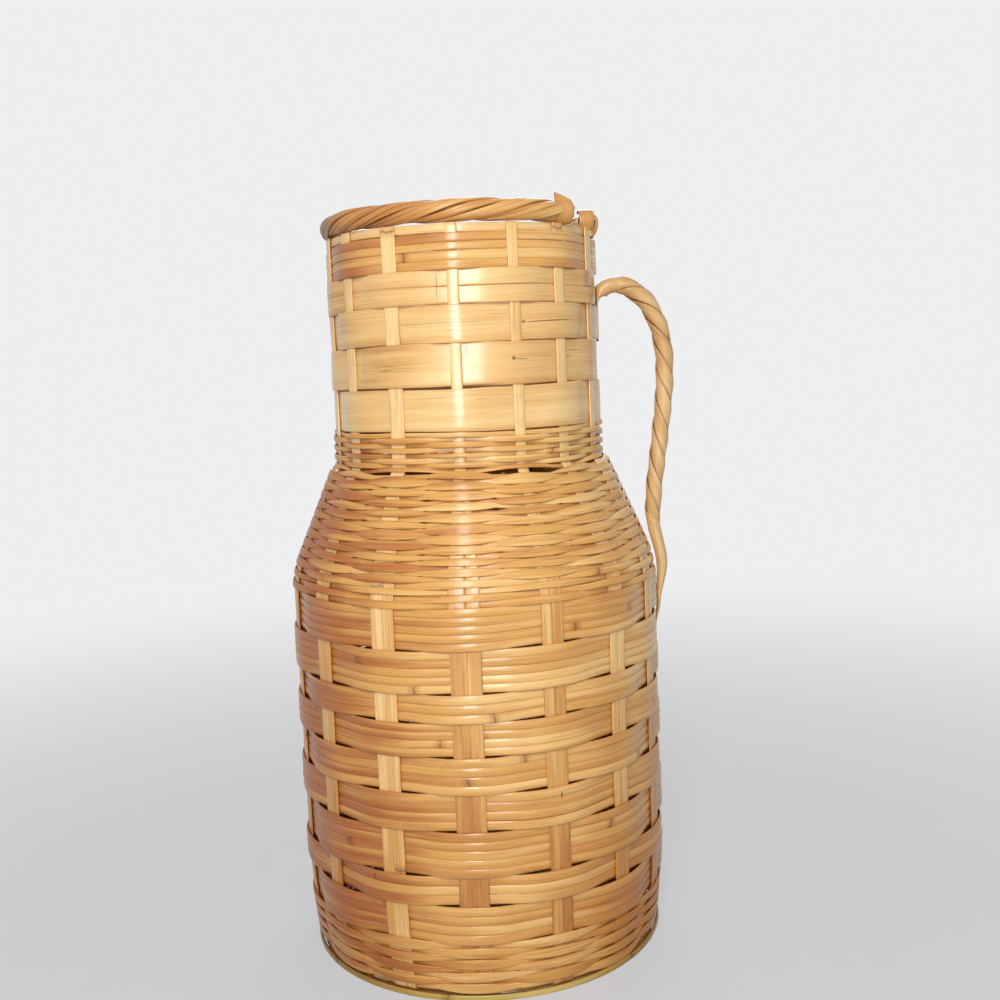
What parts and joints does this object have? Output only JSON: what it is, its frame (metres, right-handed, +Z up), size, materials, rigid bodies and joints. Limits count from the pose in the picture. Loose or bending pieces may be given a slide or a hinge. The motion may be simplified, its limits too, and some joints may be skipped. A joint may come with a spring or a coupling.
{
  "type": "umbrella basket",
  "caption": "Jug-shaped woven bamboo and rattan umbrella stand with a straight neck, sloping shoulder, rolled rim and a fixed twisted side handle.",
  "frame": {"origin": "centre of the base's underside, at floor level on the basket's axis", "axes": "+Z up along the basket's axis, +X towards the handle, -Y towards the front of the picture"},
  "size_m": [0.2779, 0.262, 0.5087],
  "materials": {
    "stake_splint": "varnished",
    "fine_reed": "varnished",
    "body_reed": "varnished",
    "neck_splint": "varnished",
    "rim_reed": "varnished",
    "handle_splint": "varnished",
    "foot_bamboo": "varnished"
  },
  "bodies": {
    "root": {"stake_01": "stake_splint", "stake_02": "stake_splint", "stake_03": "stake_splint", "stake_04": "stake_splint", "stake_05": "stake_splint", "stake_06": "stake_splint", "stake_07": "stake_splint", "stake_08": "stake_splint", "stake_09": "stake_splint", "stake_10": "stake_splint", "stake_11": "stake_splint", "stake_12": "stake_splint", "stake_13": "stake_splint", "stake_14": "stake_splint", "stake_15": "stake_splint", "stake_16": "stake_splint", "foot_course_1": "fine_reed", "foot_course_2": "fine_reed", "foot_course_3": "fine_reed", "foot_course_4": "fine_reed", "body_band_1": "body_reed", "body_band_2": "body_reed", "body_band_3": "body_reed", "body_band_4": "body_reed", "body_band_5": "body_reed", "body_band_6": "body_reed", "body_band_7": "body_reed", "body_band_8": "body_reed", "body_band_9": "body_reed", "girdle_course_1": "fine_reed", "girdle_course_2": "fine_reed", "shoulder_course_1": "fine_reed", "shoulder_course_2": "fine_reed", "shoulder_course_3": "fine_reed", "shoulder_course_4": "fine_reed", "shoulder_course_5": "fine_reed", "shoulder_course_6": "fine_reed", "shoulder_course_7": "fine_reed", "shoulder_course_8": "fine_reed", "shoulder_course_9": "fine_reed", "shoulder_course_10": "fine_reed", "collar_course_1": "fine_reed", "collar_course_2": "fine_reed", "collar_course_3": "fine_reed", "neck_band_1": "neck_splint", "neck_band_2": "neck_splint", "neck_band_3": "neck_splint", "neck_band_4": "neck_splint", "neck_band_5": "body_reed", "foot_hoop": "foot_bamboo", "base_mat": "fine_reed", "rim_hoop": "neck_splint", "rim_strand_1": "rim_reed", "rim_strand_2": "rim_reed", "rim_strand_3": "rim_reed", "rim_lashing": "neck_splint", "handle_core": "handle_splint", "handle_wrap_1": "handle_splint", "handle_wrap_2": "handle_splint", "handle_wrap_3": "handle_splint"}
  },
  "joints": []
}
